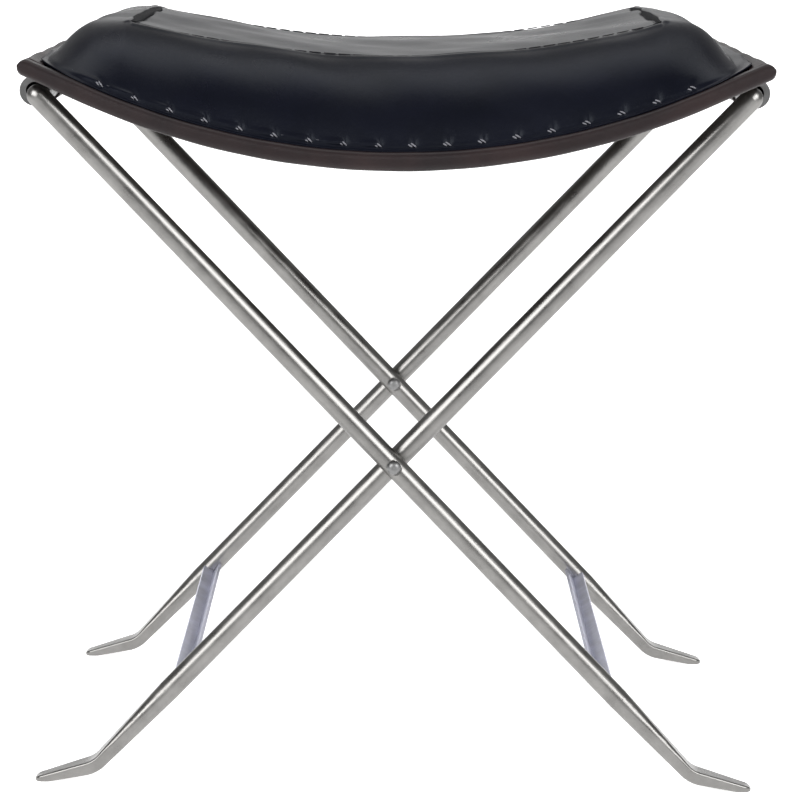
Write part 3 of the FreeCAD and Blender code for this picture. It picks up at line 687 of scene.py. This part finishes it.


# Hem: two short threads that slant into the leather at each place, as x and rise at both ends
# and the bow, and on the left a thin light thread along the fold that swells towards them,
# which is a painted highlight of the fold
HEM_THREADS = (
    (-0.0017, 0.0058, 0.0017, 0.0034, 0.0006),
    (-0.0034, 0.0050, -0.0008, 0.0034, 0.0004),
)
FOLD_HIGHLIGHT_THREAD = (-0.0175, 0.0052, -0.0006, 0.0046, 0.0001)


def hem_stitch(place, way, shape, swell=False):
    x1, rise1, x2, rise2, bow = shape
    y1, z1, normal = side_point(place + x1, rise1)
    y2, z2, _ = side_point(place + x2, rise2)
    lift = (0, way * normal[0] * bow, normal[1] * bow)
    return (place + x1, way * y1, z1), (place + x2, way * y2, z2), lift, swell


for tag, way in (("front", -1), ("back", 1)):
    stitches = []
    for place in hem_places():
        stitches += [hem_stitch(place, way, shape) for shape in HEM_THREADS]
        # On the left only, a light swelling thread along each fold is the fold's painted highlight.
        if place < 0:
            stitches.append(hem_stitch(place, way, FOLD_HIGHLIGHT_THREAD, swell=True))
    thread = stitch_object("edge_thread_and_fold_highlight_" + tag, stitches, 0.0005)
    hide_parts("edge_stitching_" + tag)

# Slanted stitches over the top panel's two cross seams
CROSS_PITCH, CROSS_HALF_X, CROSS_HALF_Y, CROSS_BOW = 0.009, 0.0042, 0.003, 0.0007
for tag, side in (("left", -1), ("right", 1)):
    stitches = []
    for y in even_places(int((2 * PANEL_Y - CROSS_PITCH) / CROSS_PITCH) + 1, CROSS_PITCH):
        ends = []
        for step in (-1, 1):
            end_x, end_y = side * PANEL_X + step * CROSS_HALF_X, y + step * CROSS_HALF_Y
            ends.append((end_x, end_y, top_point(end_x, end_y)))
        stitches.append((*ends, (0, 0, CROSS_BOW)))
    thread = stitch_object("cross_thread_" + tag, stitches, 0.0006, DARK_THREAD)
    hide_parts("cross_stitching_" + tag)

# Running stitches along the top panel's two long seams, sunk in the groove
SEAM_STITCH, SEAM_GAP, SEAM_OUT, SEAM_SINK = 0.0075, 0.0018, 0.0001, 0.0001
for tag, way in (("front", -1), ("back", 1)):
    stitches = []
    y = way * (PANEL_Y + SEAM_OUT)
    for i in range(int(2 * PANEL_X / (SEAM_STITCH + SEAM_GAP))):
        x1 = -PANEL_X + i * (SEAM_STITCH + SEAM_GAP)
        x2 = x1 + SEAM_STITCH
        stitches.append(((x1, y, top_point(x1, y)), (x2, y, top_point(x2, y)), (0, 0, -SEAM_SINK)))
    thread = stitch_object("seam_thread_" + tag, stitches, 0.0004, DARK_THREAD)

# Stitches that hold the loops' tails under the sling
TAIL_COUNT, TAIL_PITCH, TAIL_HALF, TAIL_BOW = 17, 0.012, 0.0036, 0.0007
for tag, side in (("a", -1), ("b", 1)):
    x, z = straight_place(-HALF_BASE - SKIN_GAP - LOOP_THICK, TUBE_RUN - 0.75 * LOOP_TAIL)
    stitches = []
    for y in even_places(TAIL_COUNT, TAIL_PITCH):
        start, end = (side * x, y - TAIL_HALF, z), (side * x, y + TAIL_HALF, z)
        stitches.append((start, end, (0, 0, -TAIL_BOW)))
    thread = stitch_object("loop_thread_" + tag, stitches, 0.00065)
    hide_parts("loop_stitching_" + tag)


# Every seat piece swings with the seat and folds up towards tube A

for obj in list(bpy.context.scene.objects):
    if obj.type == "MESH" and obj.name not in NODES:
        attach(obj, "seat")
        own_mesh(obj)


# Studio: pale floor that runs up behind, soft light from above and both sides

FLOOR_FRONT, FLOOR_BACK, FLOOR_SIDE = -3.0, 2.2, 5.0
FLOOR_BEND, FLOOR_TOP, FLOOR_DROP = 0.5, 0.62, 0.0002
FLOOR_GLOW, GLOW_FROM, GLOW_FULL = 0.8, -0.9, -0.3
WORLD_LIGHT = 0.28


def studio_material():
    """Pale matt floor that glows from under the stool on backwards and is plain in front."""
    material, tree, shader = new_material("studio_white")
    vector = object_vector(tree)
    tone = noise(tree, vector, scale=3, detail=2)
    pale = ramp(tree, tone, (0.3, (0.88, 0.88, 0.88)), (0.7, (0.90, 0.90, 0.90)))
    tree.links.new(pale, shader.inputs["Base Color"])
    split = tree.nodes.new("ShaderNodeSeparateXYZ")
    tree.links.new(vector, split.inputs["Vector"])
    glow = map_range(tree, split.outputs["Y"], GLOW_FROM, GLOW_FULL, 0.0, FLOOR_GLOW)
    tree.links.new(glow, shader.inputs["Emission Strength"])
    shader.inputs["Emission Color"].default_value = (1, 1, 1, 1)
    shader.inputs["Roughness"].default_value = 0.9
    shader.inputs["Specular IOR Level"].default_value = 0.0
    return material


def make_floor():
    # The bend starts with a point of its own, so that the flat stretch is shaded flat.
    profile = [(FLOOR_FRONT, 0.0), (FLOOR_BACK, 0.0)]
    for angle in np.radians(np.linspace(0, 90, 16)):
        y = FLOOR_BACK + FLOOR_BEND * math.sin(angle)
        profile.append((y, FLOOR_BEND - FLOOR_BEND * math.cos(angle)))
    profile.append((FLOOR_BACK + FLOOR_BEND, FLOOR_TOP))
    verts = [(x, y, z - FLOOR_DROP) for x in (-FLOOR_SIDE, FLOOR_SIDE) for y, z in profile]
    floor = make_object("studio_floor", verts, grid_faces(2, len(profile)), studio_material())


def area_light(name, place, target, size, power):
    light = bpy.data.lights.new(name, "AREA")
    light.shape = "RECTANGLE"
    light.size, light.size_y = size
    light.energy = power
    obj = bpy.data.objects.new(name, light)
    bpy.context.collection.objects.link(obj)
    obj.location = place
    obj.rotation_euler = (Vector(target) - Vector(place)).to_track_quat("-Z", "Y").to_euler()


def make_world():
    world = bpy.data.worlds.new("studio")
    bpy.context.scene.world = world
    world.use_nodes = True
    background = world.node_tree.nodes["Background"]
    background.inputs["Color"].default_value = (1, 1, 1, 1)
    background.inputs["Strength"].default_value = WORLD_LIGHT


make_floor()
area_light("key_above", (0.0, 0.4, 2.6), (0, 0, 0.3), (2.0, 1.4), 14)
area_light("front_left", (-1.55, -1.9, 1.35), (0, 0, 0.35), (1.7, 1.5), 46)
area_light("front_right", (1.55, -1.9, 1.35), (0, 0, 0.35), (1.7, 1.5), 46)
area_light("back_card", (0.0, 2.6, 1.25), (0, 0, 0.45), (1.3, 0.9), 2.5)
make_world()


# Camera, fitted to the photograph's legs, pivots and feet

CAMERA_PLACE = (-0.00229, -2.01121, 0.57281)
CAMERA_YAW, CAMERA_PITCH, CAMERA_ROLL = -0.00314, 0.17105, 0.00692
PHOTO_WIDTH, FOCAL_PIXELS = 800, 2961.98
SENSOR_MM = 36


def camera_turn(yaw, pitch, roll):
    """Rotation of a camera that looks along +Y, turned left, tipped down and then rolled."""
    level = Vector((-math.sin(yaw), math.cos(yaw), 0))
    side_way = Vector((math.cos(yaw), math.sin(yaw), 0))
    ahead = level * math.cos(pitch) - Vector((0, 0, 1)) * math.sin(pitch)
    above = level * math.sin(pitch) + Vector((0, 0, 1)) * math.cos(pitch)
    right = side_way * math.cos(roll) + above * math.sin(roll)
    upward = -side_way * math.sin(roll) + above * math.cos(roll)
    return Matrix((right, upward, -ahead)).transposed().to_4x4()


camera_data = bpy.data.cameras.new("camera")
camera_data.sensor_width = SENSOR_MM
camera_data.lens = FOCAL_PIXELS / PHOTO_WIDTH * SENSOR_MM
camera_data.clip_start, camera_data.clip_end = 0.05, 50
camera = bpy.data.objects.new("camera", camera_data)
bpy.context.collection.objects.link(camera)
turn = camera_turn(CAMERA_YAW, CAMERA_PITCH, CAMERA_ROLL)
camera.matrix_world = Matrix.Translation(CAMERA_PLACE) @ turn
bpy.context.scene.camera = camera
bpy.context.scene.view_settings.view_transform = "Standard"
